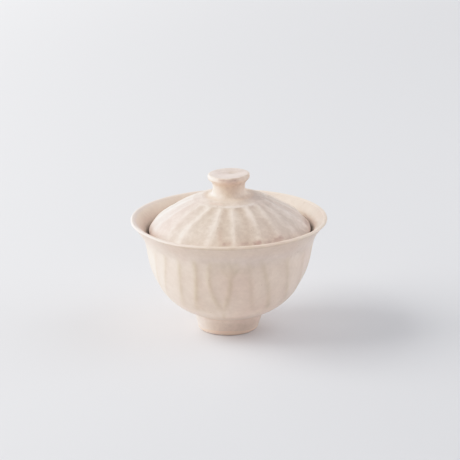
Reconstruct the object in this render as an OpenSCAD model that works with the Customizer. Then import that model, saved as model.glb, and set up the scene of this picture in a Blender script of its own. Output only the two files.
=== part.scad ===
// Lidded bowl in fluted stoneware: a flared bowl on a foot ring, and a domed lid with a button knob.
// Millimetres, +Z up, with the origin on the table under the middle of the foot ring.

/* [Bowl] */
// Diameter across the lip
rim_d = 115; // [110:1:126]
// Height of the top of the lip above the table
rim_h = 68; // [64:0.5:78]
// Thickness of the rounded lip
lip_t = 1.8; // [1.6:0.1:3.2]
// Lean of the lip away from upright, in degrees
lip_lean = 62; // [50:1:72]
// Outside diameter where the wall starts to flare
neck_d = 98.8; // [92:0.2:103]
// Height at which the wall starts to flare
neck_h = 54; // [48:0.5:57]
// Lean of the wall where it starts to flare, in degrees
neck_lean = 6.7; // [2:0.1:12]
// How far the wall keeps that lean up into the flare
flare_pull = 6; // [4:0.1:7.5]
// How far the wall keeps that lean down into the belly
belly_pull = 28.4; // [22:0.2:34]
// Slope of the belly where it leaves the foot, in degrees above level
belly_slope = 9; // [4:0.5:16]
// How far the belly keeps that slope
belly_run = 10.5; // [5:0.5:14]
// Thickness of the wall
wall = 2.8; // [2:0.1:4]
// Thickness of the floor in the middle
floor_t = 5.2; // [4:0.1:7]

/* [Foot ring] */
// Height of the foot ring
foot_h = 10; // [7:0.5:14]
// Outside diameter where the foot ring meets the bowl
foot_top_d = 40.4; // [34:0.2:46]
// Outside diameter near the table
foot_base_d = 37.8; // [34:0.2:44]
// Thickness of the ring near the table
foot_wall = 4.2; // [3.2:0.1:5]
// How much the recess narrows towards the bowl, on its radius
foot_taper = 1; // [0.4:0.1:2]
// Radius of the worn outer edge on the table
foot_edge = 2; // [0.5:0.1:2.4]
// Radius of the hollow between the foot ring and the belly
foot_fillet = 2.5; // [1:0.1:4]

/* [Lid] */
// How far the middle of the lid's edge lies below the top of the lip
seat_drop = 7; // [6:0.1:9]
// Clearance between the lid's edge and the inside of the bowl
lid_gap = 0.6; // [0.2:0.05:0.8]
// Thickness of the lid and of its rounded edge
lid_t = 2.8; // [2:0.1:4]
// Rise of the dome from the middle of its edge to the flat pad on top
dome_h = 20.2; // [15:0.2:28]
// How far the dome rises upright from its edge
edge_pull = 5.2; // [3:0.1:7]
// How far the dome keeps level around the pad
crown_pull = 6.3; // [3:0.1:9]
// Diameter of the flat pad that carries the knob
pad_d = 30.5; // [28:0.5:38]

/* [Knob] */
// Diameter of the knob's base on the pad
knob_base_d = 26; // [21:0.5:28]
// Diameter of the neck
knob_neck_d = 18.8; // [14:0.1:20]
// Height of the neck's narrowest place above the pad
knob_neck_h = 5; // [3.5:0.1:6]
// Diameter of the cap
knob_d = 24.5; // [22:0.5:30]
// Height of the knob above the pad
knob_h = 13; // [11:0.2:18]
// Thickness of the cap's rounded edge
cap_t = 3.8; // [1.6:0.1:4.4]
// Lean of the cap's underside away from upright, in degrees
cap_lean = 48; // [40:1:72]
// Depth of the dish in the cap's top
cap_dish = 0.6; // [0.2:0.1:1.2]

/* [Flutes] */
// Flutes around the bowl
bowl_flutes = 24; // [15:1:27]
// Depth of the bowl's flutes
bowl_flute_depth = 0.6; // [0.3:0.05:1.1]
// How far the flutes' arched tops lie below the top of the lip
flute_top_drop = 11; // [8:0.5:16]
// Length over which the flutes deepen below their tops
flute_top_run = 8; // [4:0.5:14]
// How far the flutes' pointed ends lie above the foot ring
flute_foot_rise = 6; // [3:0.5:14]
// Height over which the flutes deepen above their pointed ends
flute_foot_run = 14; // [6:0.5:20]
// Flutes around the lid
lid_flutes = 20; // [12:1:24]
// Depth of the lid's flutes
lid_flute_depth = 0.5; // [0.3:0.05:1.1]
// Diameter of the plain collar inside the lid's flutes
collar_d = 43; // [38.5:0.5:50]
// Length over which the lid's flutes deepen outside the collar
collar_run = 6; // [3:0.5:12]
// Share of the flutes' depth that is left at the lid's edge
edge_share = 0.4; // [0:0.05:1]
// Width beside the lid's edge over which the flutes grow shallower
edge_run = 4; // [2:0.5:8]

/* [Hidden] */
$fn = 96;

// Colours of the glaze on the bowl, on the lid and on the foot
bowl_colour = [0.88, 0.82, 0.75];
lid_colour = [0.91, 0.85, 0.78];
foot_colour = [0.82, 0.74, 0.66];

// Steps along the curves and across each flute
fillet_steps = 3;
belly_steps = 10;
flare_steps = 4;
lip_steps = 4;
dome_steps = 10;
edge_steps = 5;
turned_steps = 8;
flute_steps = 4;

// Plane curves, in radius and height

function bezier(a, b, c, d, t) =
    pow(1 - t, 3) * a + 3 * t * pow(1 - t, 2) * b + 3 * t * t * (1 - t) * c + pow(t, 3) * d;

function curve(a, b, c, d, steps) = [for (i = [0:steps]) bezier(a, b, c, d, i / steps)];

function arc(centre, radius, from, to, steps) =
    [for (i = [0:steps]) centre + radius * polar(from + (to - from) * i / steps)];

function polar(angle) = [cos(angle), sin(angle)];

function reversed(list) = [for (i = [len(list) - 1:-1:0]) list[i]];

function tail(list) = [for (i = [1:len(list) - 1]) list[i]];

// Unit normal to the left of a path at one of its points
function left_normal(path, i) =
    let (step = path[min(i + 1, len(path) - 1)] - path[max(i - 1, 0)])
    [-step.y, step.x] / norm(step);

// Path moved to its left, by one distance for each point
function shifted(path, distances) =
    [for (i = [0:len(path) - 1]) path[i] + distances[i] * left_normal(path, i)];

// Smooth step from 0 at one value to 1 at another
function fade(value, from, to) =
    let (t = min(1, max(0, (value - from) / (to - from))))
    t * t * (3 - 2 * t);

// Bowl's outside, from the foot ring to the lip

rim_r = rim_d / 2;
neck = [neck_d / 2, neck_h];
foot_top_r = foot_top_d / 2;
belly_start = [foot_top_r, foot_h] + foot_fillet * [1, 1];
lip_centre = [rim_r, rim_h] - lip_t / 2 * [1, 1];
lip_start = lip_centre + lip_t / 2 * polar(-lip_lean);
neck_way = polar(90 - neck_lean);
lip_way = polar(90 - lip_lean);

foot_blend = arc([belly_start.x, foot_h], foot_fillet, 180, 90, fillet_steps);
belly = curve(belly_start, belly_start + belly_run * polar(belly_slope),
    neck - belly_pull * neck_way, neck, belly_steps);
flare = curve(neck, neck + flare_pull * neck_way, lip_start - flare_pull * lip_way, lip_start, flare_steps);
lip = arc(lip_centre, lip_t / 2, -lip_lean, 180 - lip_lean, lip_steps);

// Bowl's inside, which follows the outside at the wall's thickness

outer_wall = concat(belly, tail(flare));
wall_at = [for (i = [0:len(outer_wall) - 1])
    wall + (lip_t - wall) * max(0, (i - belly_steps) / flare_steps)];
inner_wall = shifted(outer_wall, wall_at);
inner_stations = concat([for (i = [0:2:belly_steps - 1]) inner_wall[i]],
    [for (i = [belly_steps:belly_steps + flare_steps - 1]) inner_wall[i]]);
floor_z = foot_h + floor_t;

// Lid, whose rounded edge lies inside the bowl's wall by the clearance

edge_z = rim_h - seat_drop;
seat_line = shifted(outer_wall, [for (t = wall_at) t + lid_gap + lid_t / 2]);
edge_r = lookup(edge_z, [for (p = seat_line) [p.y, p.x]]);
lid_r = edge_r + lid_t / 2;
pad_r = pad_d / 2;
pad_z = edge_z + dome_h;
dome = curve([lid_r, edge_z], [lid_r, edge_z + edge_pull], [pad_r + crown_pull, pad_z], [pad_r, pad_z],
    dome_steps);
lid_edge = arc([edge_r, edge_z], lid_t / 2, -180, 0, edge_steps);
dome_inside = shifted(dome, [for (p = dome) lid_t]);

// Share of the full flute depth at a point of the bowl's outside or of the dome

function bowl_cut(p) =
    let (top = rim_h - flute_top_drop, low = foot_h + flute_foot_rise)
    min(fade(p.y, low, low + flute_foot_run), fade(p.y, top, top - flute_top_run));

function lid_cut(p) =
    let (at_edge = edge_share + (1 - edge_share) * fade(p.x, lid_r, lid_r - edge_run))
    min(fade(p.x, collar_d / 2, collar_d / 2 + collar_run), at_edge);

// Depth of a flute across its width, from its ridge at 0 over its middle at 0.5 to the next ridge at 1
function scoop(across, share) = max(0, share - pow(2 * across - 1, 2));

// Solids

// Shell turned about Z from a path that starts and ends on the axis with the clay on its left.
// Flutes are cut into it by each point's share of the full depth.
module fluted_shell(path, shares, flutes, depth) {
    sides = flutes * flute_steps;
    last = len(path) - 1;

    function corner(i, j) =
        let (across = (j % flute_steps) / flute_steps)
        let (p = path[i] + depth * scoop(across, shares[i]) * left_normal(path, i))
        let (angle = 360 * j / sides)
        [p.x * cos(angle), p.x * sin(angle), p.y];

    function index(i, j) =
        i == 0 ? 0 : i == last ? 1 + (last - 1) * sides : 1 + (i - 1) * sides + j % sides;

    corners = concat(
        [[0, 0, path[0].y]],
        [for (i = [1:last - 1]) for (j = [0:sides - 1]) corner(i, j)],
        [[0, 0, path[last].y]]);
    lower_faces = [for (i = [0:last - 2]) for (j = [0:sides - 1])
        [index(i, j), index(i + 1, j), index(i + 1, j + 1)]];
    upper_faces = [for (i = [1:last - 1]) for (j = [0:sides - 1])
        [index(i, j), index(i + 1, j + 1), index(i, j + 1)]];
    polyhedron(corners, concat(lower_faces, upper_faces));
}

// Thrown vessel with its flared lip and its flat underside
module bowl_body() {
    outside = concat(foot_blend, tail(outer_wall));
    inside = concat(tail(lip), reversed(inner_stations));
    path = concat([[0, foot_h]], outside, inside, [[0, floor_z]]);
    shares = concat([0], [for (p = outside) bowl_cut(p)], [for (p = inside) 0], [0]);
    color(bowl_colour)
        fluted_shell(path, shares, bowl_flutes, bowl_flute_depth);
}

// Turned ring that stands on the table
module foot_ring() {
    base_r = foot_base_d / 2;
    recess_r = base_r - foot_wall;
    color(foot_colour)
        rotate_extrude()
            polygon(concat(
                [[recess_r, 0]],
                arc([base_r - foot_edge, foot_edge], foot_edge, -90, 0, fillet_steps),
                [[foot_top_r, foot_h], [recess_r - foot_taper, foot_h]]));
}

// Thrown dome with a rounded edge and a flat pad in the middle
module lid_dome() {
    inside = concat([for (i = [dome_steps:-2:1]) dome_inside[i]], lid_edge);
    outside = tail(dome);
    path = concat([[0, pad_z - lid_t]], inside, outside, [[0, pad_z]]);
    shares = concat([0], [for (p = inside) 0], [for (p = outside) lid_cut(p)], [0]);
    color(lid_colour)
        fluted_shell(path, shares, lid_flutes, lid_flute_depth);
}

// Turned button knob with a hollow neck line and a dished cap
module lid_knob() {
    base = [knob_base_d / 2, pad_z];
    neck_point = [knob_neck_d / 2, pad_z + knob_neck_h];
    cap_centre = [knob_d / 2 - cap_t / 2, pad_z + knob_h - cap_t / 2];
    cap_under = cap_centre + cap_t / 2 * polar(-cap_lean);
    foot_curve = curve(base, [neck_point.x, base.y + knob_neck_h / 4],
        neck_point - [0, knob_neck_h / 3], neck_point, turned_steps);
    cap_rise = cap_under.y - neck_point.y;
    cap_curve = curve(neck_point, neck_point + [0, cap_rise / 2],
        cap_under - cap_rise / 2 * polar(90 - cap_lean), cap_under, turned_steps);
    cap_edge = arc(cap_centre, cap_t / 2, -cap_lean, 90, turned_steps);
    cap_rim = cap_edge[turned_steps];
    dish_bottom = [0, cap_rim.y - cap_dish];
    dish = curve(cap_rim, [cap_rim.x * 2 / 3, cap_rim.y], [cap_rim.x / 2, dish_bottom.y], dish_bottom,
        turned_steps);
    color(lid_colour)
        rotate_extrude()
            polygon(concat([[0, pad_z]], foot_curve, tail(cap_curve), tail(cap_edge), tail(dish)));
}

bowl_body();
foot_ring();
lid_dome();
lid_knob();
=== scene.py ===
"""Looks of a lidded bowl in fluted stoneware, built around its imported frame.

Lengths are in metres, in the frame's axes. Azimuths are in degrees from the front, positive to the right.
"""
import math

import bpy
import numpy as np
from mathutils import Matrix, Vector


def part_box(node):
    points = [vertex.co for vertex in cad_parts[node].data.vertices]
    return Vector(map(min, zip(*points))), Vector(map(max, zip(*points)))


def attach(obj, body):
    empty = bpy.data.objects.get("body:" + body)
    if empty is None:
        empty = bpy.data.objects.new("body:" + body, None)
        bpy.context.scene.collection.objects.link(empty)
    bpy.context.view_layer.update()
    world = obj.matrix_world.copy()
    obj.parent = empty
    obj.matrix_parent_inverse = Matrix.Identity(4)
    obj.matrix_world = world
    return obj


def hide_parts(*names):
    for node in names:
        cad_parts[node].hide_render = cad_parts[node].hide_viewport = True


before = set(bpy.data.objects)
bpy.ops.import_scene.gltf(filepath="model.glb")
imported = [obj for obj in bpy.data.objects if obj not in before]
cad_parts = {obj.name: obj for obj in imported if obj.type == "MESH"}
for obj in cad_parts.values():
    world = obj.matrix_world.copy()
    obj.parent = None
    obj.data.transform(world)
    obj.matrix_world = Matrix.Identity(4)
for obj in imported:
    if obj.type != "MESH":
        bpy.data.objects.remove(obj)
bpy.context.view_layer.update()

MM = 0.001
SEED = 7
rng = np.random.default_rng(SEED)

# Meshes: points around the turn and their azimuths, angle of a sharp edge, step between points inside
SEGMENTS = 480
AZIMUTHS = np.arange(SEGMENTS) * (2 * math.pi / SEGMENTS)
TURNS = np.degrees(AZIMUTHS)
SHARP_ANGLE = math.radians(50)
INSIDE_STEP = 2

# Sizes that the frame gives
BOWL_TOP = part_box("bowl_body")[1]
FOOT_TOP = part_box("foot_ring")[1]
LID_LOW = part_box("lid_dome")[0]
LID_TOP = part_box("lid_dome")[1]
KNOB_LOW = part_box("lid_knob")[0]
KNOB_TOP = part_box("lid_knob")[1]
RIM_R = BOWL_TOP.x
RIM_Z = BOWL_TOP.z
FOOT_Z = FOOT_TOP.z
FOOT_R = FOOT_TOP.x
LID_R = LID_TOP.x
PAD_Z = KNOB_LOW.z
KNOB_BASE_R = KNOB_TOP.x

# Bowl's wall, from the lip down, with pairs as radius and height
LIP_LEAN = math.radians(44)
LIP_WIDTH = 0.9 * MM
LIP_DROP = 0.8 * MM
LIP_PULL = 0.15 * MM
LIP_ROUND = 0.55
LIP_FOOT = np.array([0.2, 0.3]) * MM
LIP_SHOULDER = np.array([1.6, 0.55]) * MM
SHOULDER_PULL = 0.6 * MM
INSIDE_RISE = math.radians(33)
NECK = np.array([49.4, 54.0]) * MM
NECK_Z = NECK[1]
NECK_LEAN = math.radians(6.7)
NECK_PULL = 3.0 * MM
FLARE_PULL = 5.0 * MM
SEAT_PULL = 4.0 * MM
BELLY_PULL = 29.4 * MM
BELLY_SLOPE = math.radians(20)
BELLY_RUN = 12.0 * MM
WALL = 2.8 * MM
BASE_EXTRA = 1.7 * MM
BASE_POWER = 6
FLOOR_Z = FOOT_Z + 5.2 * MM
FLOOR_FLAT_R = 6.0 * MM
FLOOR_EDGE_SHARE = 0.6
FLOOR_EDGE_DIP = 0.2 * MM

# Hand-made unevenness of the bowl, with spans of heights over which it grows
LIP_TILT = 0.009
TILT_SPAN = (NECK_Z - 20 * MM, RIM_Z)
DIP_SPAN = (NECK_Z - 2 * MM, RIM_Z)
FULL_SPAN = (NECK_Z - 24 * MM, NECK_Z - 6 * MM)
FULL_END = (RIM_Z - 4 * MM, NECK_Z)

# Dips of the lip and fuller sides of the wall, as azimuth, spread and millimetres
LIP_DIPS = ((-33, 22, 0.85), (8, 26, 0.3), (75, 20, 0.5), (-75, 14, 0.5), (-135, 30, 0.4))
FULL_SIDES = ((80, 35, 0.45),)

# Slow waves and throwing rings of all thrown walls
WAVE_DEPTH = 0.07 * MM
WAVE_COUNT = 5
WAVE_TWIST = 60
WAVE_FADE = 0.15
RING_DEPTH = 0.07 * MM
RING_PITCH = 6.0 * MM
RING_FADE = 0.1

# Foot ring
FOOT_BASE_R = 18.0 * MM
FOOT_LEAN = -0.5 * MM
FOOT_EDGE = 1.7 * MM
FOOT_INNER_EDGE = 0.6 * MM
FOOT_WALL = 4.2 * MM
FOOT_TAPER = 1.0 * MM
FOOT_FILLET = np.array([1.5, 1.3]) * MM
FILLET_PULL = 0.8 * MM
FOOT_FLARE = math.radians(7)
FOOT_SWELL = np.array([0.7, 3.0]) * MM
FOOT_PULL = 3.0 * MM

# Lid, with the points left out between its underside and edge, and a groove's radius and spread
LID_T = 2.8 * MM
UNDER_GAP = 4
EDGE_Z = LID_LOW.z + LID_T / 2
EDGE_PULL = 5.2 * MM
CROWN_PULL = 6.3 * MM
PAD_R = 15.25 * MM
PAD_GROOVE = (17.8 * MM, 1.1 * MM)
PAD_GROOVE_DEPTH = 0.1 * MM
COLLAR_R = 21.2 * MM
COLLAR_UNEVEN = (-0.3 * MM, 0.4 * MM)
LID_SHIFT = 0.45 * MM
LID_TILT = 0.017

# Flatter sides of the lid, as azimuth, spread and millimetres
FLAT_SIDES = ((108, 24, 1.2), (-100, 26, 0.8))
FLAT_RUN = 8 * MM

# Knob
STEM_R = 9.4 * MM
STEM_RISE = 5.0 * MM
STEM_FLARE = np.array([-3.0, 0.3]) * MM
STEM_PULL = 3.0 * MM
CAP_R = 12.25 * MM
CAP_UNDER = 2.0 * MM
CAP_EDGE = 1.1 * MM
CAP_SIDE = 0.7 * MM
CAP_LEAN = math.radians(48)
CAP_TILT = math.radians(1.2)
CAP_STEM_SHARE = 0.6
CAP_UNDER_SHARE = 0.4
CAP_DISH = 0.5 * MM
DISH_OUTER = 2 / 3
DISH_INNER = 1 / 2
KNOB_SHIFT = -0.05 * MM
DIMPLE = (2.0 * MM, 2.4 * MM)
DIMPLE_R = 2.7 * MM
DIMPLE_DEPTH = 0.5 * MM

# Scatter of all ridges at the back, in degrees
RIDGE_SCATTER = 1.5

# Flutes of the bowl
BOWL_FLUTES = 24
BOWL_DEPTH = 0.42 * MM
RIDGE_TOP = 56 * MM
RIDGE_LOW = 26 * MM
RIDGE_OVERRUN = 1.3
TOP_ARCH = 8 * MM
TIP_ARCH = 22 * MM

# Azimuths of the bowl's front ridges at the start, middle and end of the height that they run over
BOWL_RIDGES = (
    (-60, -64, -72),
    (-48, -52, -63),
    (-36, -37, -42),
    (-23.5, -23.7, -27.5),
    (-12, -13.6, -8),
    (0, 1, -3),
    (13, 15.2, 19),
    (21.5, 27.8, 34),
    (42, 46, 54),
    (60, 64, 72),
)

# Front flutes' top heights and lower ends in millimetres, front ridges' thinness, ranges at the back
BOWL_TOPS = (57, 57, 56, 56, 53, 50.5, 51.5, 55, 56)
BOWL_TIPS = (15, 15, 17, 17, 18, 16, 15, 14, 15)
BOWL_THIN = (0.5, 0.6, 0.8, 1.0, 1.0, 1.0, 0.5, 1.0, 0.6, 0.4)
BACK_TOPS = (51, 57)
BACK_TIPS = (13, 18)
BACK_THIN = (0.4, 1.0)

# Flutes of the lid
LID_FLUTES = 20
LID_DEPTH = 0.5 * MM
RIDGE_IN = 24 * MM
RIDGE_OUT = 42 * MM
LID_OVERRUN = 1.2
COLLAR_ARCH = 2.0 * MM
EDGE_SHARE = 0.35
EDGE_RUN = 5 * MM

# Azimuths of the lid's front ridges at the start, middle and end of the radius that they run over
LID_RIDGES = (
    (-69, -71, -71),
    (-50, -53, -51.5),
    (-31, -35.5, -38),
    (-12, -13, -14.5),
    (4.5, 4.5, 4.2),
    (27.5, 26.5, 24),
    (46, 43.2, 41),
    (59, 57.5, 57),
    (74, 74, 76),
)

# Those ridges' flat half widths in millimetres, paleness (partly a painted highlight) and its loss
# outwards, ranges at the back
LID_FLATS = (0.4, 0.4, 0.5, 0.6, 0.2, 0.4, 0.4, 0.4, 0.4)
LID_CRESTS = (0.1, 0.2, 0.6, 0.6, 0.6, 0.9, 0.7, 0.4, 0.4)
LID_FADES = (0.1, 0.1, 0.1, 0.15, 0.2, 0.6, 0.6, 0.3, 0.3)
BACK_FLATS = (0.2, 0.6)
BACK_CRESTS = (0.2, 0.6)
BACK_FADES = (0.1, 0.5)

# Flutes between them: relative depth, painted shade and where across the flute it lies, ranges at the back
LID_SCOOPS = (
    (0.4, 0.0, 0.5),
    (0.8, 0.15, 0.5),
    (1.0, 0.4, 0.35),
    (1.0, 0.6, 0.5),
    (1.3, 0.9, 0.5),
    (1.1, 0.8, 0.7),
    (0.6, 0.2, 0.5),
    (0.8, 0.6, 0.3),
)
BACK_DEPTHS = (0.7, 1.1)
BACK_SHADES = (0.2, 0.7)
BACK_PLACES = (0.4, 0.6)

# Strokes in the bowl's glaze: azimuth and height of both ends, half width and strength, in millimetres
BOWL_STROKES = (
    (-9, 54.5, 5, 54.5, 2.2, 0.4),
    (-4, 51.5, 3, 51.5, 2.0, 0.5),
    (-2, 49.5, 3, 49.5, 1.8, 0.6),
    (-4.5, 51, 1, 45, 1.2, 0.7),
    (5, 50, 1, 45, 1.2, 0.7),
    (0, 47, 1.5, 47, 1.5, 0.75),
    (1, 45, 1, 41, 1.5, 0.9),
    (-5, 22, -5, 14.5, 1.0, 0.5),
    (3, 49.5, 12, 49.5, 0.9, 0.4),
    (6, 51.5, 22, 52, 0.8, 0.3),
)
BOWL_RUST = (
    (46, 34, 50, 28, 1.8, 0.16),
    (45.7, 54.3, 45.7, 54.3, 0.5, 0.5),
)

# Strokes in the lid's glaze, with radii in place of heights
LID_STROKES = (
    (-7.5, 33, -7.5, 42, 1.6, 0.5),
    (62, 22.5, 62, 25, 1.6, 0.9),
    # Painted shadow line on the left between the knob's foot and the collar
    (-30, 19.2, -8, 19.2, 0.8, 0.5),
)
LID_PALES = (
    (8, 25, 8, 30, 2.0, 0.25),
    (-74, 44, -50, 44, 2.5, 0.2),
)
LID_BLUSH_AND_SHADOW = (
    # Painted shadow line on the left between the knob's foot and the collar
    (-36, 18, -16, 18, 1.0, 0.9),
    (-75, 36, -60, 42, 9.0, 0.6),
    (-9, 38, -7, 43, 1.6, 0.5),
)
LID_RUST_AND_SHADE = (
    # A reddish band along the lid's front edge, partly iron and partly painted shade and bounce light from
    # the gap, then iron spots
    (-5, 46.3, 52, 46.3, 1.5, 0.25),
    (-3.5, 44.6, 1, 44.4, 1.1, 0.85),
    (9, 44.8, 13, 44.6, 1.0, 0.6),
    (18.5, 45.9, 22, 45.4, 1.3, 1.5),
    (29, 45.6, 34, 45.6, 1.0, 0.6),
    (36, 45.2, 42, 44.8, 1.3, 0.75),
    (82, 45.5, 92, 45.5, 1.1, 0.6),
)

# Strokes in the knob's glaze, with heights
# Darker tan on the neck, partly painted shade under the cap and on the neck's side away from the light
KNOB_STROKES = (
    (-25, 88.5, 40, 88.5, 2.2, 0.4),
    (-5, 85.5, 30, 86.5, 3.0, 0.4),
    (-5, 83.6, 5, 83.2, 1.2, 0.5),
)
# Painted shadow of the cap on the top of the neck, rose-tinted
KNOB_PAINTED_SHADOW = (
    (-40, 91.5, 30, 91.5, 1.2, 0.3),
)
# Painted shade along the front under the cap's rolled edge, iron-tinted
KNOB_PAINTED_SHADE = (
    (-28, 93.3, 18, 93.1, 0.8, 0.75),
)
LEAST_STROKE = 0.01 * MM

# Heights of the bowl's bands of glaze and painted shade: where they start and are full, or their middle
# and spread
LINE_TOP = (59 * MM, 54 * MM)
LINE_LOW = (18 * MM, 24 * MM)
ARCH_START = (9 * MM, 16 * MM)
UNDER_LIP = (RIM_Z - 3 * MM, RIM_Z - 1.4 * MM)
INSIDE_LIP = (RIM_Z - 4 * MM, RIM_Z - 1 * MM)
# Painted shade on the lowest part of the belly, just above the foot ring
LOW_PAINTED_SHADE = (16 * MM, 13 * MM)
LOW_PALE = (18.5 * MM, 4 * MM)
SHOULDER = (56 * MM, 4 * MM)
SEAT_SHADOW_BAND = (61 * MM, 2 * MM)

# Strengths of the bowl's marks
LINE_FLAT = 0.4 * MM
LINE_BLUR = 1.3 * MM
LINE_STRENGTH = 0.6
ARCH_STRENGTH = 0.2
ARCH_BLUR = 0.2
LOW_PAINTED_SHADE_STRENGTH = 0.3
LOW_PALE_STRENGTH = 0.25
FLUTE_PALE = 0.1
INSIDE_PALE = 0.22

# Marks of the bowl around the turn: a base value, then bumps as azimuth, spread and height
# Thin glaze under the lip and on its outer edge, partly painted shade below the lip
UNDER_LIP_THIN_AND_SHADE = (0.3, (0, 40, 0.6))
LIP_THIN_AND_SHADE = (0.2, (8, 28, 0.5))
# Paler lip, with painted shade on its right side, which faces away from the light
LIP_PALE_AND_SHADE = (0.5, (85, 35, -0.25))
LIP_BLUSH = (0, (10, 45, 0.7))
# Painted sheen on the lip's left, where the glaze is seen at a grazing angle
LIP_PAINTED_SHEEN = (0, (-90, 50, 1))
# Painted highlight on the wall's left side, where the light falls
WALL_PAINTED_HIGHLIGHT = (0, (-72, 24, 0.2))
# Painted sheen on the wall's right side, seen at a grazing angle
WALL_PAINTED_SHEEN = (0, (80, 30, 0.5))
SHOULDER_PALE = (0, (15, 45, 0.1))
SHOULDER_COOL = (0, (20, 60, 0.7))
# Painted highlight inside the lip on the left and painted shade inside it on the right
INSIDE_LIP_LIGHT_AND_SHADE = (0, (-95, 45, 0.2), (85, 40, -0.3))
# Painted shadow of the lid on the bowl's inside along the seat, on the right
SEAT_PAINTED_SHADOW = (0, (100, 35, -0.45))

# Glaze of the foot ring, down to its band of bare clay, with a painted reflection along its bottom edge
CLAY_BAND = 3.1 * MM
CLAY_BLUR = 0.8 * MM
LIT_EDGE = (0.7 * MM, 0.5 * MM)
FOOT_THIN_SPAN = (FOOT_Z + 0.5 * MM, 6 * MM)
CLAY_SHARE = (0.55, (-15, 45, 0.45))
LIT_EDGE_BARE = (0.1, (-30, 35, 0.5))
LIT_EDGE_HIGHLIGHT = (0.3, (-30, 35, 0.9))
# Painted highlight on the foot's left side, where the light falls
FOOT_PAINTED_HIGHLIGHT = (0, (-70, 38, 0.25))
# Thin glaze on the foot, with painted shade on its right side and less on its left
FOOT_THIN_AND_SHADE = (0.3, (45, 40, 0.3), (-70, 30, -0.15))
# Cooler glaze on the foot, with painted sheen on its left side
FOOT_COOL_AND_SHEEN = (0.2, (-80, 45, 0.8))

# Radii of the lid's bands of glaze and painted shade
UPPER_LID = (30 * MM, 23 * MM)
CREST_FADE = (24 * MM, 40 * MM)
COLLAR_RING = (COLLAR_R - 0.8 * MM, 1.1 * MM)

# Strengths of the lid's marks
LID_PALE = 0.35
SCOOP_PALE = 0.27
# Painted shade at the flutes' upper ends, in front
UPPER_PAINTED_SHADE = -0.1
SIDE_PALE = 0.1
CREST_PALE = 0.75
# The ridges' paleness spreads further onto their left slopes, which face the light: painted highlight
CREST_LIT_LEFT = 2.6 * MM
CREST_RIGHT = 1.0 * MM
# Spread of the painted shade inside the flutes, and how much of it is left away from the collar
DARK_BLUR = 2.4 * MM
DARK_OUTSIDE = 0.55

# Marks of the lid around the turn
DEPTH_AROUND = (1, (-85, 22, -0.5))
FRONT_SHARE = (0.3, (0, 60, 1))
COLLAR_PALE = (0.3, (-60, 45, 0.3))
# Paler collar edge in front and on the right, and a painted shadow in the groove on the left
RING_PALE_AND_SHADOW = (0, (15, 45, 0.35), (-75, 32, -0.35))
RING_COOL = (0, (15, 45, 0.6))
# Painted shade darkening the lid's left side, where the light falls
DOME_PAINTED_SHADE = (0, (-75, 25, -0.1))
# Painted sheen on the lid's left and right sides, seen at grazing angles
DOME_PAINTED_SHEEN = (0, (-85, 40, 1), (70, 40, 1))

# Glaze of the knob, with the points of the cap's rolled edge
KNOB_PALE = 0.4
FACE_PALE = 0.5
FACE_BLUSH = 0.3
# Painted shade in the dimple of the cap's face
DIMPLE_PAINTED_SHADE = 0.4
ROLL_POINTS = 14
# Paler rolled edge of the cap, with a painted highlight on its left
ROLL_PALE_AND_HIGHLIGHT = (0.35, (-62, 36, 0.5))


# Plane curves as rows of radius and height

def bezier(a, b, c, d, count):
    t = np.linspace(0, 1, count)[:, None]
    a, b, c, d = (np.asarray(p, float) for p in (a, b, c, d))
    return (1 - t) ** 3 * a + 3 * t * (1 - t) ** 2 * b + 3 * t * t * (1 - t) * c + t ** 3 * d


def polar(angle):
    return np.array([math.cos(angle), math.sin(angle)])


def arc(centre, radius, start, end, count):
    angles = np.linspace(start, end, count)
    return np.asarray(centre) + radius * np.stack([np.cos(angles), np.sin(angles)], 1)


def joined(*stretches):
    """One path from several stretches, without the points that they share."""
    parts = [stretches[0]] + [s[1:] for s in stretches[1:]]
    return np.concatenate(parts)


def left_normals(path):
    step = np.gradient(path, axis=0)
    step /= np.linalg.norm(step, axis=1)[:, None]
    return np.stack([-step[:, 1], step[:, 0]], 1)


def shifted(path, distance):
    """Path moved to its left by a distance, or by one for each point."""
    return path + np.reshape(distance, (-1, 1)) * left_normals(path)


def run_length(path):
    return np.concatenate([[0], np.cumsum(np.linalg.norm(np.diff(path, axis=0), axis=1))])


# Soft steps and bumps

def smooth(value, start, end):
    t = np.clip((np.asarray(value) - start) / (end - start), 0, 1)
    return t * t * (3 - 2 * t)


def bell(value, middle, spread):
    return np.exp(-((value - middle) / spread) ** 2)


def end_fade(length, share):
    """1 along a path, fading to 0 over a share of its length at both ends."""
    along = length / length[-1]
    return (smooth(along, 0, share) * smooth(along, 1, 1 - share))[:, None]


def around(azimuths):
    """Angles from some azimuths to every meridian, up to half a turn to the left or right."""
    return (AZIMUTHS - np.asarray(azimuths)[..., None] + math.pi) % (2 * math.pi) - math.pi


def bumpy(base, *bumps, turn=TURNS):
    """A base value around the turn, plus bumps as azimuth and spread in degrees and height."""
    total = np.full_like(turn, base)
    for azimuth, spread, height in bumps:
        away = (turn - azimuth + 180) % 360 - 180
        total += height * bell(away, 0, spread)
    return total


# Flutes

def ridge_paths(front, count, share):
    """Azimuths of all ridges along a path, a row for each ridge. share goes from 0 at their start to 1.
    The ridges in front come first, and the rest stand evenly around the back with a little scatter."""
    front = np.array(front)
    hidden = count - len(front)
    steps = np.arange(1, hidden + 1)[:, None] / (hidden + 1)
    scatter = rng.uniform(-RIDGE_SCATTER, RIDGE_SCATTER, (hidden, 1))
    back = front[-1] + (front[0] + 360 - front[-1]) * steps + scatter
    start, middle, end = np.radians(np.concatenate([front, back])).T[:, :, None]
    paths = start + (4 * middle - 3 * start - end) * share + 2 * (start + end - 2 * middle) * share ** 2
    crossed = np.minimum(0, paths[1:] - paths[:-1]) / 2
    paths[:-1] += crossed
    paths[1:] -= crossed
    return paths


def next_ridges(paths):
    """The ridge on the right of each ridge."""
    after = np.roll(paths, -1, axis=0)
    after[-1] += 2 * math.pi
    return after


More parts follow.
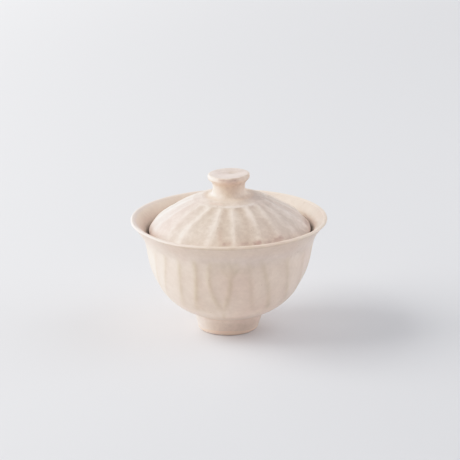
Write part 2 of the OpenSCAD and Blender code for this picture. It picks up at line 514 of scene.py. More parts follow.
def flute_field(paths, shares, depths):
    """How far inside a flute each point is, 1 at its deepest, 0 on its outline and negative outside, and
    that flute's depth. shares holds a row per flute, along the path: its share of its full width."""
    least_width = 0.02
    sharpness = 16.0
    far_outside = -3
    widths = np.maximum(next_ridges(paths) - paths, least_width)
    total = np.zeros((shares.shape[1], SEGMENTS))
    deep = np.zeros_like(total)
    for path, width, share, depth in zip(paths, widths, shares, depths):
        away = around(path + width / 2)
        inside = share[:, None] - (2 * away / width[:, None]) ** 2
        weight = np.exp(sharpness * np.clip(inside, far_outside, 1))
        total += weight
        deep += depth * weight
    return np.log(total) / sharpness, deep / total


def arched(depth, run, fall=3):
    """Share of a flute's width at a depth inside its end, for an end that is arched over a run."""
    inside = np.clip(depth / run, -1, 1)
    return np.where(inside > 0, 1 - (1 - inside) ** 2, fall * inside)


def rounded_up(field, softness=0.12):
    """The field inside the flutes and 0 outside, with the glaze rounding the ridges."""
    return (field + np.sqrt(field ** 2 + softness ** 2)) / 2


def listed(front, back, count):
    """Values of the flutes in front, then scattered ones in the range for the back."""
    return np.concatenate([front, rng.uniform(*back, count - len(front))])


# Marks and unevenness on turned surfaces

def ridge_mark(paths, radius, flats, left, right, strengths):
    """A strength along each ridge: level over its flat half width, then falling to 0 on both sides."""
    total = np.zeros((len(radius), SEGMENTS))
    for path, flat, strength in zip(paths, flats, strengths):
        away = around(path) * radius[:, None]
        beyond = np.maximum(np.abs(away) - flat, 0) / np.where(away < 0, left, right)
        total = np.maximum(total, strength[:, None] * bell(beyond, 0, 1))
    return total


def stroke_mark(strokes, radius, place):
    """Soft straight strokes on a turned surface, at places that are its heights or its radii."""
    total = np.zeros((len(radius), SEGMENTS))
    for start_turn, start, end_turn, end, width, strength in strokes:
        level = np.interp(start * MM, *np.array(sorted(zip(place, radius))).T)
        x = around(math.radians(start_turn))[None, :] * radius[:, None]
        y = place[:, None] - start * MM
        step_x = math.radians(end_turn - start_turn) * level
        step_y = (end - start) * MM
        length = max(step_x ** 2 + step_y ** 2, LEAST_STROKE ** 2)
        along = np.clip((x * step_x + y * step_y) / length, 0, 1)
        away = np.hypot(x - along * step_x, y - along * step_y)
        total = np.maximum(total, strength * bell(away, 0, width * MM))
    return total


def wall_waves(length):
    """Slow unevenness of a thrown wall, fading towards both of its ends."""
    out = np.zeros((len(length), SEGMENTS))
    for turns in range(1, WAVE_COUNT + 1):
        phase = rng.uniform(0, 2 * math.pi)
        twist = rng.uniform(-WAVE_TWIST, WAVE_TWIST)
        out += np.cos(turns * AZIMUTHS + phase + twist * length[:, None]) / math.sqrt(turns)
    return WAVE_DEPTH * out * end_fade(length, WAVE_FADE)


def throwing_rings(length):
    """Shallow spiral that a thrower's fingers leave, fading towards both of its ends."""
    spiral = np.cos(AZIMUTHS + 2 * math.pi * length[:, None] / RING_PITCH)
    return RING_DEPTH * spiral * end_fade(length, RING_FADE)


# Meshes

def turned(name, path, push, marks, closed=False):
    """Object turned about Z from a path with the clay on its left. push moves each point into the clay.
    A path that isn't closed starts and ends on the axis. marks are values kept at each point."""
    normals = left_normals(path)
    radius = path[:, :1] + push * normals[:, :1]
    height = path[:, 1:] + push * normals[:, 1:]
    rings = np.stack([radius * np.sin(AZIMUTHS), -radius * np.cos(AZIMUTHS), height], 2)
    index = np.arange(len(path) * SEGMENTS).reshape(len(path), SEGMENTS)
    if closed:
        low, high = index, np.roll(index, -1, axis=0)
    else:
        low, high = index[1:-2], index[2:-1]
    quads = np.stack([low, np.roll(low, -1, axis=1), np.roll(high, -1, axis=1), high], 2)
    faces = quads.reshape(-1, 4).tolist()
    keep = np.ones(index.size, bool)
    if not closed:
        first, last = index[0, 0], index[-1, 0]
        start, end = index[1], index[-2]
        faces += np.stack([start, np.roll(start, -1), np.full(SEGMENTS, first)], 1).tolist()
        faces += np.stack([end, np.roll(end, -1), np.full(SEGMENTS, last)], 1).tolist()
        keep[index[0, 1:]] = False
        keep[index[-1, 1:]] = False
    renumber = np.cumsum(keep) - 1
    faces = [[int(renumber[v]) for v in face] for face in faces]
    mesh = bpy.data.meshes.new(name)
    mesh.from_pydata(rings.reshape(-1, 3)[keep].tolist(), [], faces)
    for mark, values in marks.items():
        layer = mesh.attributes.new(mark, "FLOAT", "POINT")
        layer.data.foreach_set("value", values.reshape(-1)[keep].astype(np.float32))
    mesh.shade_smooth()
    mesh.set_sharp_from_angle(angle=SHARP_ANGLE)
    mesh.update()
    obj = bpy.data.objects.new(name, mesh)
    bpy.context.scene.collection.objects.link(obj)
    return obj


def blank_marks(push, *names):
    return {name: np.zeros_like(push) for name in names}


# Bowl

def bowl_outline():
    """Bowl's fillet on the foot ring, its outside from there, its rolled lip and its inside."""
    foot_top = np.array([FOOT_R, FOOT_Z])
    belly_start = foot_top + FOOT_FILLET
    foot_way = polar(math.pi / 2 - FOOT_FLARE)
    belly_way = polar(BELLY_SLOPE)
    neck_way = polar(math.pi / 2 - NECK_LEAN)
    lip_way = polar(math.pi / 2 - LIP_LEAN)
    inside_way = polar(INSIDE_RISE)
    outmost = np.array([RIM_R, RIM_Z - LIP_DROP])
    crown = np.array([RIM_R - LIP_WIDTH, RIM_Z])
    lip_start = outmost - LIP_FOOT
    lip_end = crown - LIP_SHOULDER
    fillet = bezier(foot_top, foot_top + FILLET_PULL * foot_way,
                    belly_start - FILLET_PULL * belly_way, belly_start, count=10)
    belly = bezier(belly_start, belly_start + BELLY_RUN * belly_way,
                   NECK - BELLY_PULL * neck_way, NECK, count=72)
    flare = bezier(NECK, NECK + NECK_PULL * neck_way,
                   lip_start - FLARE_PULL * lip_way, lip_start, count=24)
    lip = joined(
        bezier(lip_start, lip_start + LIP_PULL * lip_way, outmost - [0, LIP_PULL], outmost, count=4),
        bezier(outmost, outmost + [0, LIP_ROUND * LIP_DROP],
               crown + [LIP_ROUND * LIP_WIDTH, 0], crown, count=8),
        bezier(crown, crown - [SHOULDER_PULL, 0], lip_end + SHOULDER_PULL * inside_way, lip_end, count=7),
    )
    base_share = np.linspace(1, 0, len(belly)) ** BASE_POWER
    inner_belly = shifted(belly, WALL + BASE_EXTRA * base_share)[::-1]
    seat = inner_belly[0]
    inner_flare = bezier(lip_end, lip_end - FLARE_PULL * inside_way,
                         seat + SEAT_PULL * neck_way, seat, count=24)
    return fillet, joined(belly, flare), lip, joined(inner_flare, inner_belly)


def bowl_flutes(height, length):
    """Ridges along the wall, how thin their glaze is, and the flutes between them as field and depth."""
    ridge_share = np.clip((RIDGE_TOP - height) / (RIDGE_TOP - RIDGE_LOW), 0, RIDGE_OVERRUN)
    paths = ridge_paths(BOWL_RIDGES, BOWL_FLUTES, ridge_share)
    tops = listed(BOWL_TOPS, BACK_TOPS, BOWL_FLUTES)[:, None] * MM
    tips = listed(BOWL_TIPS, BACK_TIPS, BOWL_FLUTES)[:, None] * MM
    thins = listed(BOWL_THIN, BACK_THIN, BOWL_FLUTES)[:, None]
    shares = np.minimum(arched(tops - height, TOP_ARCH), arched(length - tips, TIP_ARCH))
    return paths, thins, *flute_field(paths, shares, np.full(BOWL_FLUTES, BOWL_DEPTH))


def make_bowl():
    fillet, wall, lip, inside = bowl_outline()
    inside = np.concatenate([inside[:-1:INSIDE_STEP], inside[-1:]])
    floor_edge = inside[-1]
    floor = bezier(floor_edge, floor_edge * [FLOOR_EDGE_SHARE, 1] - [0, FLOOR_EDGE_DIP],
                   [FLOOR_FLAT_R, FLOOR_Z], [0, FLOOR_Z], count=16)
    under = np.linspace([0, FOOT_Z], [FOOT_R, FOOT_Z], num=12)
    path = joined(under, fillet, wall, lip, inside, floor)
    outside = len(under) + len(fillet) - 2
    span = slice(outside, outside + len(wall))
    rim = slice(span.stop - 1, span.stop + len(lip) - 1)
    hollow = slice(rim.stop - 1, len(path))
    radius, height = wall.T
    length = run_length(wall)
    paths, thins, field, depth = bowl_flutes(height, length)
    push = np.zeros((len(path), SEGMENTS))
    push[span] = depth * rounded_up(field) + wall_waves(length)
    push[hollow] = throwing_rings(run_length(path[hollow]))

    marks = blank_marks(push, "thin_and_shade", "pale_and_light", "rust_and_shade", "blush_and_shade", "cool_and_sheen")
    strengths = LINE_STRENGTH * thins * smooth(height, *LINE_TOP) * smooth(height, *LINE_LOW)
    flats = np.full(BOWL_FLUTES, LINE_FLAT)
    shoulder = bell(height, *SHOULDER)[:, None]
    marks["thin_and_shade"][span] = np.max([
        ridge_mark(paths, radius, flats, LINE_BLUR, LINE_BLUR, strengths),
        ARCH_STRENGTH * bell(field, 0, ARCH_BLUR) * smooth(length, *ARCH_START)[:, None],
        stroke_mark(BOWL_STROKES, radius, height),
        smooth(height, *UNDER_LIP)[:, None] * bumpy(*UNDER_LIP_THIN_AND_SHADE),
    ], axis=0)
    marks["thin_and_shade"][rim] = np.linspace(1, 0, len(lip))[:, None] * bumpy(*LIP_THIN_AND_SHADE)
    # Painted shade low on the belly
    low_shade = LOW_PAINTED_SHADE_STRENGTH * smooth(height, *LOW_PAINTED_SHADE)[:, None]
    marks["thin_and_shade"][span] = np.maximum(marks["thin_and_shade"][span], low_shade)
    marks["rust_and_shade"][span] = stroke_mark(BOWL_RUST, radius, height)
    marks["pale_and_light"][span] = FLUTE_PALE * np.clip(field, 0, 1) + bumpy(*WALL_PAINTED_HIGHLIGHT)
    marks["pale_and_light"][span] += LOW_PALE_STRENGTH * bell(height, *LOW_PALE)[:, None]
    marks["pale_and_light"][span] += shoulder * bumpy(*SHOULDER_PALE)
    marks["cool_and_sheen"][span] = shoulder * bumpy(*SHOULDER_COOL) + bumpy(*WALL_PAINTED_SHEEN)
    marks["pale_and_light"][rim] = bumpy(*LIP_PALE_AND_SHADE)
    marks["blush_and_shade"][rim] = bumpy(*LIP_BLUSH)
    marks["cool_and_sheen"][rim] = bumpy(*LIP_PAINTED_SHEEN)
    inside_height = path[hollow, 1:]
    marks["pale_and_light"][hollow] = INSIDE_PALE + smooth(inside_height, *INSIDE_LIP) * bumpy(*INSIDE_LIP_LIGHT_AND_SHADE)
    # Painted shadow of the lid along the seat
    marks["pale_and_light"][hollow] += bell(inside_height, *SEAT_SHADOW_BAND) * bumpy(*SEAT_PAINTED_SHADOW)
    return turned("bowl_shell", path, push, marks)


# Foot ring

def make_foot():
    contact_r = FOOT_BASE_R - FOOT_EDGE
    recess_r = FOOT_BASE_R - FOOT_WALL
    recess_top = [recess_r - FOOT_TAPER, FOOT_Z]
    foot_top = np.array([FOOT_R, FOOT_Z])
    foot_way = polar(math.pi / 2 - FOOT_FLARE)
    edge = arc([contact_r, FOOT_EDGE], FOOT_EDGE, -math.pi / 2, 0, count=12)
    outer = bezier(edge[-1], edge[-1] + FOOT_SWELL, foot_top - FOOT_PULL * foot_way, foot_top, count=24)
    top = np.linspace(foot_top, recess_top, num=5)
    recess = np.linspace(recess_top, [recess_r, FOOT_INNER_EDGE], num=12)
    inner_centre = [recess_r + FOOT_INNER_EDGE, FOOT_INNER_EDGE]
    inner_edge = arc(inner_centre, FOOT_INNER_EDGE, math.pi, 1.5 * math.pi, count=6)
    path = joined(edge, outer, top, recess, inner_edge)
    seen = slice(0, len(edge) + len(outer) - 1)
    height = path[seen, 1]
    push = np.zeros((len(path), SEGMENTS))
    push[seen] = wall_waves(run_length(path[seen]))

    marks = blank_marks(push, "bare", "pale_and_light", "thin_and_shade", "cool_and_sheen")
    band = CLAY_BAND * bumpy(*CLAY_SHARE)
    # Painted reflection of the floor along the foot's rounded bottom edge, in glaze colour over the clay
    lit_edge = bell(height, *LIT_EDGE)[:, None]
    marks["bare"] += smooth(path[:, 1:], band + CLAY_BLUR, band - CLAY_BLUR)
    marks["bare"][seen] -= lit_edge * bumpy(*LIT_EDGE_BARE)
    marks["pale_and_light"][seen] = bumpy(*FOOT_PAINTED_HIGHLIGHT) + lit_edge * bumpy(*LIT_EDGE_HIGHLIGHT)
    marks["thin_and_shade"][seen] = smooth(height, *FOOT_THIN_SPAN)[:, None] * bumpy(*FOOT_THIN_AND_SHADE)
    marks["cool_and_sheen"][seen] = bumpy(*FOOT_COOL_AND_SHEEN)
    return turned("foot_turned", path, push, marks, closed=True)


# Lid

def lid_flutes(radius, length, upper):
    """Depth of the flutes along the dome, paleness on their ridges, partly a painted highlight on their
    lit left sides, and painted shade inside them.
    """
    ridge_share = np.clip((radius - RIDGE_IN) / (RIDGE_OUT - RIDGE_IN), 0, LID_OVERRUN)
    paths = ridge_paths(LID_RIDGES, LID_FLUTES, ridge_share)
    tops = COLLAR_R + rng.uniform(*COLLAR_UNEVEN, (LID_FLUTES, 1))
    flats = listed(LID_FLATS, BACK_FLATS, LID_FLUTES) * MM
    crests = listed(LID_CRESTS, BACK_CRESTS, LID_FLUTES)[:, None]
    fades = listed(LID_FADES, BACK_FADES, LID_FLUTES)[:, None]
    front_depths, front_shades, front_places = np.array(LID_SCOOPS).T
    depths = listed(front_depths, BACK_DEPTHS, LID_FLUTES) * LID_DEPTH
    flute_shades = listed(front_shades, BACK_SHADES, LID_FLUTES)[:, None]
    places = listed(front_places, BACK_PLACES, LID_FLUTES)[:, None]
    edge_share = EDGE_SHARE + (1 - EDGE_SHARE) * smooth(length, 0, EDGE_RUN)
    shares = np.minimum(arched(radius - tops, COLLAR_ARCH), edge_share)
    field, depth = flute_field(paths, shares, depths)
    crest_strengths = crests * (1 - fades * smooth(radius, *CREST_FADE))
    crest = ridge_mark(paths, radius, flats, CREST_LIT_LEFT, CREST_RIGHT, crest_strengths)
    middles = paths + places * (next_ridges(paths) - paths)
    shade_strengths = flute_shades * (DARK_OUTSIDE + (1 - DARK_OUTSIDE) * upper)
    flute_shade = ridge_mark(middles, radius, np.zeros(LID_FLUTES), DARK_BLUR, DARK_BLUR, shade_strengths)
    return depth * bumpy(*DEPTH_AROUND) * rounded_up(field), crest, flute_shade


def make_lid():
    dome = bezier([LID_R, EDGE_Z], [LID_R, EDGE_Z + EDGE_PULL],
                  [PAD_R + CROWN_PULL, PAD_Z], [PAD_R, PAD_Z], count=90)
    under = shifted(dome, LID_T)[::-1][:-UNDER_GAP:INSIDE_STEP]
    edge = arc([LID_R - LID_T / 2, EDGE_Z], LID_T / 2, -math.pi, 0, count=16)
    below = np.linspace([0, PAD_Z - LID_T], [under[0, 0], PAD_Z - LID_T], num=8)
    pad = np.linspace([PAD_R, PAD_Z], [0, PAD_Z], num=10)
    path = joined(below, under, edge, dome, pad)
    start = len(path) - len(pad) - len(dome) + 1
    span = slice(start, start + len(dome))
    hollow = slice(0, len(below) + len(under) - 1)
    radius, length = dome[:, 0], run_length(dome)
    upper = smooth(radius, *UPPER_LID)
    scoops, crest, flute_shade = lid_flutes(radius, length, upper)
    groove = PAD_GROOVE_DEPTH * bell(radius, *PAD_GROOVE)[:, None]
    push = np.zeros((len(path), SEGMENTS))
    push[span] = scoops + groove + wall_waves(length)
    push[hollow] = throwing_rings(run_length(path[hollow]))

    marks = blank_marks(push, "thin_and_shade", "pale_and_light", "rust_and_shade", "blush_and_shade", "cool_and_sheen")
    front = np.clip(bumpy(*FRONT_SHARE), 0, 1)
    collar_start, collar_end = COLLAR_UNEVEN
    on_flutes = smooth(radius, COLLAR_R + collar_start, COLLAR_R + collar_end)[:, None]
    ring = bell(radius, *COLLAR_RING)[:, None]
    fluted = SCOOP_PALE + CREST_PALE * crest
    fluted += UPPER_PAINTED_SHADE * upper[:, None] * front + SIDE_PALE * (1 - front)
    fluted += stroke_mark(LID_PALES, radius, radius) * (1 - crest)
    collar = bumpy(*COLLAR_PALE) + ring * bumpy(*RING_PALE_AND_SHADOW)
    marks["pale_and_light"] += LID_PALE
    marks["pale_and_light"][span] = collar * (1 - on_flutes) + fluted * on_flutes + bumpy(*DOME_PAINTED_SHADE)
    # Glaze strokes, and painted shade inside the flutes
    marks["thin_and_shade"][span] = np.maximum(stroke_mark(LID_STROKES, radius, radius), flute_shade * on_flutes)
    marks["rust_and_shade"][span] = stroke_mark(LID_RUST_AND_SHADE, radius, radius)
    marks["blush_and_shade"][span] = stroke_mark(LID_BLUSH_AND_SHADOW, radius, radius)
    marks["cool_and_sheen"][span] = np.clip(bumpy(*DOME_PAINTED_SHEEN), 0, 1) + ring * bumpy(*RING_COOL)
    return turned("lid_shell", path, push, marks)


# Knob

def make_knob():
    top = KNOB_TOP.z
    base = np.array([KNOB_BASE_R, PAD_Z])
    neck = np.array([STEM_R, PAD_Z + STEM_RISE])
    under_centre = np.array([CAP_R - CAP_UNDER, top - CAP_EDGE - CAP_SIDE])
    cap_under = under_centre + CAP_UNDER * polar(-CAP_LEAN)
    cap_way = polar(math.pi / 2 - CAP_LEAN)
    cap_rise = cap_under[1] - neck[1]
    flare = bezier(base, base + STEM_FLARE, neck - [0, STEM_PULL], neck, count=24)
    rise = bezier(neck, neck + [0, CAP_STEM_SHARE * cap_rise],
                  cap_under - CAP_UNDER_SHARE * cap_rise * cap_way, cap_under, count=24)
    under_edge = arc(under_centre, CAP_UNDER, -CAP_LEAN, 0, count=14)
    edge = arc([CAP_R - CAP_EDGE, top - CAP_EDGE], CAP_EDGE, 0, math.pi / 2, count=12)
    rim = edge[-1]
    dish = bezier(rim, [DISH_OUTER * rim[0], top],
                  [DISH_INNER * rim[0], top - CAP_DISH], [0, top - CAP_DISH], count=36)
    below = np.linspace([0, PAD_Z], base, num=6)
    path = joined(below, flare, rise, under_edge, edge, dish)
    stem = slice(len(below), len(path) - len(dish) + 1)
    roll = slice(stem.stop - ROLL_POINTS, stem.stop)
    face = slice(stem.stop, len(path))
    face_radius = path[face, :1]
    away = np.hypot(face_radius * np.sin(AZIMUTHS) - DIMPLE[0], face_radius * np.cos(AZIMUTHS) + DIMPLE[1])
    dimple = bell(away, 0, DIMPLE_R)
    push = np.zeros((len(path), SEGMENTS))
    push[face] = DIMPLE_DEPTH * dimple

    marks = blank_marks(push, "thin_and_shade", "pale_and_light", "rust_and_shade", "blush_and_shade", "cool_and_sheen")
    marks["pale_and_light"] += KNOB_PALE
    marks["pale_and_light"][roll] = bumpy(*ROLL_PALE_AND_HIGHLIGHT)
    marks["pale_and_light"][face] = FACE_PALE
    marks["thin_and_shade"][face] = DIMPLE_PAINTED_SHADE * dimple
    marks["blush_and_shade"][face] = FACE_BLUSH
    # Painted sheen on the cap's face, seen at a grazing angle
    marks["cool_and_sheen"][face] = 1
    stem_radius, stem_height = path[stem].T
    for name, strokes in (("thin_and_shade", KNOB_STROKES), ("blush_and_shade", KNOB_PAINTED_SHADOW), ("rust_and_shade", KNOB_PAINTED_SHADE)):
        marks[name][stem] = stroke_mark(strokes, stem_radius, stem_height)
    return turned("knob_button", path, push, marks)


# Unevenness of the finished pieces, as moves of their points

def reshape(piece, change):
    """Moves the points of a piece by what a function of their places gives."""
    mesh = piece.data
    points = np.empty(len(mesh.vertices) * 3)
    mesh.vertices.foreach_get("co", points)
    points = points.reshape(-1, 3)
    points += np.stack(change(*points.T), 1)
    mesh.vertices.foreach_set("co", points.reshape(-1))
    mesh.update()


def turn_of(x, y):
    return np.degrees(np.arctan2(x, -y))


def uneven_bowl(x, y, z):
    """Bowl with a lip that rises a little to the right and dips in places, and a fuller side."""
    turn = turn_of(x, y)
    tilt = LIP_TILT * x * smooth(z, *TILT_SPAN)
    dips = MM * bumpy(0, *LIP_DIPS, turn=turn) * smooth(z, *DIP_SPAN)
    full = MM * bumpy(0, *FULL_SIDES, turn=turn) * smooth(z, *FULL_SPAN) * smooth(z, *FULL_END)
    return full, 0 * y, tilt - dips


def foot_lean(x, y, z):
    """Foot ring that leans a little to one side at the table."""
    return FOOT_LEAN * (1 - z / FOOT_Z), 0 * y, 0 * x


def lid_place(x, y, z):
    """Lid as it lies in its seat, a little to the right and a little up there, with its flatter sides."""
    radius = np.maximum(np.hypot(x, y), MM)
    flat = MM * bumpy(0, *FLAT_SIDES, turn=turn_of(x, y))
    pull = flat * smooth(radius, LID_R - FLAT_RUN, LID_R) / radius
    return LID_SHIFT - LID_TILT * (z - EDGE_Z) - pull * x, -pull * y, LID_TILT * x


def knob_place(x, y, z):
    """Knob on the lid, moved a little to the left, with its cap tilted."""
    above = smooth(z, PAD_Z + STEM_RISE, KNOB_TOP.z - CAP_EDGE)
    right, back, up = lid_place(x, y, z)
    return right + KNOB_SHIFT, back, up + CAP_TILT * above * x


# Materials

class Shade:
    """Adds and links the nodes of one material."""

    def __init__(self, name):
        self.material = bpy.data.materials.new(name)
        self.material.use_nodes = True
        self.tree = self.material.node_tree
        self.shader = self.tree.nodes["Principled BSDF"]
        self.place = self.add("ShaderNodeTexCoord").outputs["Object"]

    def add(self, kind, **settings):
        node = self.tree.nodes.new(kind)
        for key, value in settings.items():
            setattr(node, key, value)
        return node

    def put(self, socket, value):
        if isinstance(value, bpy.types.NodeSocket):
            self.tree.links.new(value, socket)
        elif isinstance(value, tuple):
            socket.default_value = (*value, 1)
        else:
            socket.default_value = value

    def noise(self, scale, detail, roughness=0.5):
        node = self.add("ShaderNodeTexNoise")
        self.put(node.inputs["Vector"], self.place)
        self.put(node.inputs["Scale"], scale)
        self.put(node.inputs["Detail"], detail)
        self.put(node.inputs["Roughness"], roughness)
        return node.outputs["Fac"]

    def mark(self, name):
        return self.add("ShaderNodeAttribute", attribute_name=name).outputs["Fac"]

    def math(self, operation, a, b):
        node = self.add("ShaderNodeMath", operation=operation)
        self.put(node.inputs[0], a)
        self.put(node.inputs[1], b)
        return node.outputs[0]

    def spread(self, value, low, high, start=0.0, end=1.0):
        node = self.add("ShaderNodeMapRange", interpolation_type="SMOOTHSTEP")
        for socket, number in zip(node.inputs, (value, low, high, start, end)):
            self.put(socket, number)
        return node.outputs[0]

    def mix(self, share, a, b, blend="MIX"):
        node = self.add("ShaderNodeMix", data_type="RGBA", blend_type=blend)
        self.put(node.inputs[0], share)
        self.put(node.inputs[6], a)
        self.put(node.inputs[7], b)
        return node.outputs[2]

    def bump(self, height, distance, strength, normal=None):
        node = self.add("ShaderNodeBump")
        self.put(node.inputs["Strength"], strength)
        self.put(node.inputs["Distance"], distance)
        self.put(node.inputs["Height"], height)
        if normal is not None:
            self.put(node.inputs["Normal"], normal)
        return node.outputs["Normal"]


# Glaze colours where it is deepest and palest, and what thin, rusty, rosy and cool places and painted
# shade and sheen multiply them by
DEEP = (0.69, 0.56, 0.465)
FULL = (0.92, 0.77, 0.66)
TAN_AND_SHADE_TINT = (0.87, 0.87, 0.77)
BROWN_AND_SHADE_TINT = (0.84, 0.81, 0.77)
IRON_AND_SHADE_TINT = (0.72, 0.62, 0.61)
ROSE_AND_SHADE_TINT = (1.0, 0.94, 0.94)
COOL_AND_SHEEN_TINT = (0.97, 1.0, 1.06)
SPECK = (0.55, 0.46, 0.40)
CLAY = (0.80, 0.615, 0.50)

# Noises of the glaze as scale, detail and, where it isn't the usual one, roughness
CLOUDS = (55, 3)
PATCHES = (170, 3)
MOTTLE = (420, 3, 0.6)
ROSY_PLACES = (38, 2)
THIN_PLACES = (120, 2)
RUSTY_PLACES = (260, 3)
SKIN = (330, 3)
GRAIN = (900, 3, 0.6)

# What the glaze makes of them: the range that a noise takes, then the values at its ends
NOISE_RANGE = (0.3, 0.7)
ROSY_VALUES = (0.45, 0.7, 0, 0.5)
THIN_VALUES = (0.3, 0.65, 0.5, 1)
RUSTY_VALUES = (0.35, 0.6, 0.3, 1)
BARE_STEP = (0.35, 0.65)

# Swing of the paleness in the clouds, patches and mottle, and of the bare clay's outline
CLOUD_SWING = 0.08
PATCH_SWING = 0.13
MOTTLE_SWING = 0.13
BARE_SWING = 0.3

# Specks of iron: how densely they lie, how far they reach and how few of them show
SPECK_SCALE = 260.0
SPECK_REACH = (0.04, 0.1)
SPECK_CHOICE = (0.72, 0.74)
SPECK_STRENGTH = 0.6

# Surface of the glaze
SHEEN = 0.12
SHEEN_ROUGHNESS = 0.4
ROUGHNESS = (0.46, 0.6)
BARE_ROUGHNESS = 0.3
SKIN_DEPTH = 0.3 * MM
SKIN_STRENGTH = 0.15
GRAIN_DEPTH = 0.1 * MM
GRAIN_STRENGTH = 0.2


def glaze(name, level, mottled, thin_and_shade_tint):
    """Matte white glaze over pale stoneware. level is how pale it is between the marked places, mottled is
    how much that varies, and the last argument is what its thin places and the painted shade sharing their
    marks multiply the colour by."""
    shade = Shade(name)
    patches = shade.noise(*PATCHES)
    # Paleness of the glaze, with painted highlights and painted shade added to it in places
    pale_and_light = shade.math("ADD", shade.mark("pale_and_light"), level)
    swings = (
        (shade.noise(*CLOUDS), CLOUD_SWING),
        (patches, PATCH_SWING),
        (shade.noise(*MOTTLE), MOTTLE_SWING),
    )
    for noise, swing in swings:
        change = shade.spread(noise, *NOISE_RANGE, -swing * mottled, swing * mottled)
        pale_and_light = shade.math("ADD", pale_and_light, change)
    colour = shade.mix(shade.spread(pale_and_light, 0, 1), DEEP, FULL)
    # Rosy glaze, with painted shadow under the knob's cap and beside the collar
    rosy_and_shade = shade.spread(shade.noise(*ROSY_PLACES), *ROSY_VALUES)
    rosy_and_shade = shade.math("ADD", shade.mark("blush_and_shade"), rosy_and_shade)
    colour = shade.mix(rosy_and_shade, colour, ROSE_AND_SHADE_TINT, "MULTIPLY")
    # Cooler glaze, partly painted sheen where it is seen at grazing angles
    colour = shade.mix(shade.mark("cool_and_sheen"), colour, COOL_AND_SHEEN_TINT, "MULTIPLY")
    # Thin glaze, with painted shade in the flutes, under the lip, low on the belly and on the knob
    thin_and_shade = shade.spread(shade.noise(*THIN_PLACES), *THIN_VALUES)
    thin_and_shade = shade.math("MULTIPLY", shade.mark("thin_and_shade"), thin_and_shade)
    colour = shade.mix(thin_and_shade, colour, thin_and_shade_tint, "MULTIPLY")
    # Iron rust, with painted shade under the knob's cap and at the lid's front edge
    rust_and_shade_share = shade.spread(shade.noise(*RUSTY_PLACES), *RUSTY_VALUES)
    rust_and_shade_share = shade.math("MULTIPLY", shade.mark("rust_and_shade"), rust_and_shade_share)
    colour = shade.mix(rust_and_shade_share, colour, IRON_AND_SHADE_TINT, "MULTIPLY")
    bare = shade.spread(patches, *NOISE_RANGE, -BARE_SWING, BARE_SWING)
    bare = shade.spread(shade.math("ADD", shade.mark("bare"), bare), *BARE_STEP)
    colour = shade.mix(bare, colour, CLAY)
    dots = shade.add("ShaderNodeTexVoronoi")
    shade.put(dots.inputs["Vector"], shade.place)
    shade.put(dots.inputs["Scale"], SPECK_SCALE)
    near = shade.spread(dots.outputs["Distance"], *SPECK_REACH, 1, 0)
    rare = shade.spread(dots.outputs["Color"], *SPECK_CHOICE, 0, SPECK_STRENGTH)
    colour = shade.mix(shade.math("MULTIPLY", near, rare), colour, SPECK, "MULTIPLY")
    rough = shade.spread(patches, *NOISE_RANGE, *ROUGHNESS)
    rough = shade.math("ADD", rough, shade.math("MULTIPLY", bare, BARE_ROUGHNESS))
    skin = shade.bump(shade.noise(*SKIN), SKIN_DEPTH, SKIN_STRENGTH)
    skin = shade.bump(shade.noise(*GRAIN), GRAIN_DEPTH, GRAIN_STRENGTH, skin)
    shade.put(shade.shader.inputs["Base Color"], colour)
    shade.put(shade.shader.inputs["Sheen Weight"], SHEEN)
    shade.put(shade.shader.inputs["Sheen Roughness"], SHEEN_ROUGHNESS)
    shade.put(shade.shader.inputs["Roughness"], rough)
    shade.put(shade.shader.inputs["Normal"], skin)
    return shade.material


# Stage
PAPER_SIZE = 12
PAPER_COLOUR = (0.755, 0.757, 0.782, 1)
PAPER_ROUGHNESS = 0.9
SENSOR_WIDTH = 36
LENS = 159.4
VIEW_END = 100
CAMERA_PLACE = (0, -1138.2 * MM, 420.2 * MM)
CAMERA_AIM = Vector((0.6 * MM, 0, 59.6 * MM))
LIGHT_AIM = Vector((0, 0, 40 * MM))
SKY = 0.3

# Lights as azimuth from the front, elevation, distance, width, height and power
LIGHTS = {
    "window_left": (-90, 38, 1.5, 1.1, 1.1, 17.5),
    "window_right": (90, 45, 1.6, 1.3, 1.3, 5.6),
    "window_right_back": (120, 28, 1.6, 1.3, 1.3, 2.9),
    "panel_left_front": (-70, 11.5, 1.5, 1.3, 0.56, 4.8),
    "panel_left_back": (-135, 11.5, 1.5, 1.3, 0.56, 9.2),
    "panel_back": (180, 11.5, 1.5, 1.3, 0.56, 2.6),
    "panel_right": (90, 11.5, 1.5, 1.3, 0.56, 4.6),
    "panel_front": (0, 11.5, 1.5, 1.3, 0.56, 1.7),
}
COOL_LIGHTS = ("window_right", "window_right_back", "panel_right")
COOL_LIGHT = (0.985, 1.01, 1.06)

# Film response as points of light and of what the picture shows, rolling off in the highlights
FILM = ((0.35, 0.35), (0.7, 0.7), (1.0, 0.889))
FILM_END = (1.3, 1.0)


def make_floor():
    bpy.ops.mesh.primitive_plane_add(size=PAPER_SIZE)
    floor = bpy.context.object
    floor.name = "floor"
    material = bpy.data.materials.new("floor_paper")
    material.use_nodes = True
    shader = material.node_tree.nodes["Principled BSDF"]
    shader.inputs["Base Color"].default_value = PAPER_COLOUR
    shader.inputs["Roughness"].default_value = PAPER_ROUGHNESS
    floor.data.materials.append(material)


def turn_to(obj, target):
    obj.rotation_euler = (target - obj.location).to_track_quat("-Z", "Y").to_euler()


def make_camera():
    data = bpy.data.cameras.new("camera")
    camera = bpy.data.objects.new("camera", data)
    bpy.context.scene.collection.objects.link(camera)
    data.sensor_width = SENSOR_WIDTH
    data.lens = LENS
    data.clip_end = VIEW_END
    camera.location = CAMERA_PLACE
    turn_to(camera, CAMERA_AIM)
    bpy.context.scene.camera = camera


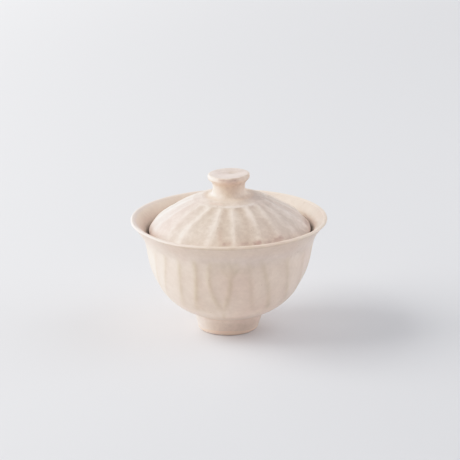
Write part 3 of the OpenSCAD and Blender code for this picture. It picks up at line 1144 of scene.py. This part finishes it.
def area_light(name, azimuth, elevation, distance, width, height, power):
    data = bpy.data.lights.new(name, "AREA")
    data.shape = "RECTANGLE"
    data.size = width
    data.size_y = height
    data.energy = power
    if name in COOL_LIGHTS:
        data.color = COOL_LIGHT
    light = bpy.data.objects.new(name, data)
    bpy.context.scene.collection.objects.link(light)
    turn, rise = math.radians(azimuth), math.radians(elevation)
    way = Vector((math.cos(rise) * math.sin(turn), -math.cos(rise) * math.cos(turn), math.sin(rise)))
    light.location = distance * way
    turn_to(light, LIGHT_AIM)
    light.visible_camera = False


def make_light():
    for name, setting in LIGHTS.items():
        area_light(name, *setting)
    world = bpy.data.worlds.new("studio")
    bpy.context.scene.world = world
    world.use_nodes = True
    world.node_tree.nodes["Background"].inputs["Color"].default_value = (SKY, SKY, SKY, 1)


def make_film():
    settings = bpy.context.scene.view_settings
    settings.view_transform = "Standard"
    settings.look = "None"
    settings.use_curve_mapping = True
    mapping = settings.curve_mapping
    mapping.use_clip = False
    points = mapping.curves[3].points
    points[1].location = FILM_END
    for place in FILM:
        points.new(*place)
    mapping.update()


# Assembly
make_camera()
make_light()
make_film()
make_floor()

bowl, foot, lid, knob = make_bowl(), make_foot(), make_lid(), make_knob()
reshape(bowl, uneven_bowl)
reshape(foot, foot_lean)
reshape(lid, lid_place)
reshape(knob, knob_place)
bowl_glaze = glaze("bowl_glaze", level=0.35, mottled=0.45, thin_and_shade_tint=TAN_AND_SHADE_TINT)
foot_glaze = glaze("foot_glaze", level=0.35, mottled=0.6, thin_and_shade_tint=BROWN_AND_SHADE_TINT)
lid_glaze = glaze("lid_glaze", level=0.0, mottled=1.0, thin_and_shade_tint=BROWN_AND_SHADE_TINT)
knob_glaze = glaze("knob_glaze", level=0.0, mottled=1.0, thin_and_shade_tint=TAN_AND_SHADE_TINT)
pieces = [
    (bowl, "bowl", "bowl_body", "bowl_glaze", bowl_glaze),
    (foot, "bowl", "foot_ring", "foot_glaze", foot_glaze),
    (lid, "lid", "lid_dome", "lid_glaze", lid_glaze),
    (knob, "lid", "lid_knob", "lid_glaze", knob_glaze),
]
for piece, body, node, slot, material in pieces:
    piece.data.materials.append(material)
    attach(piece, body)
    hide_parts(node)
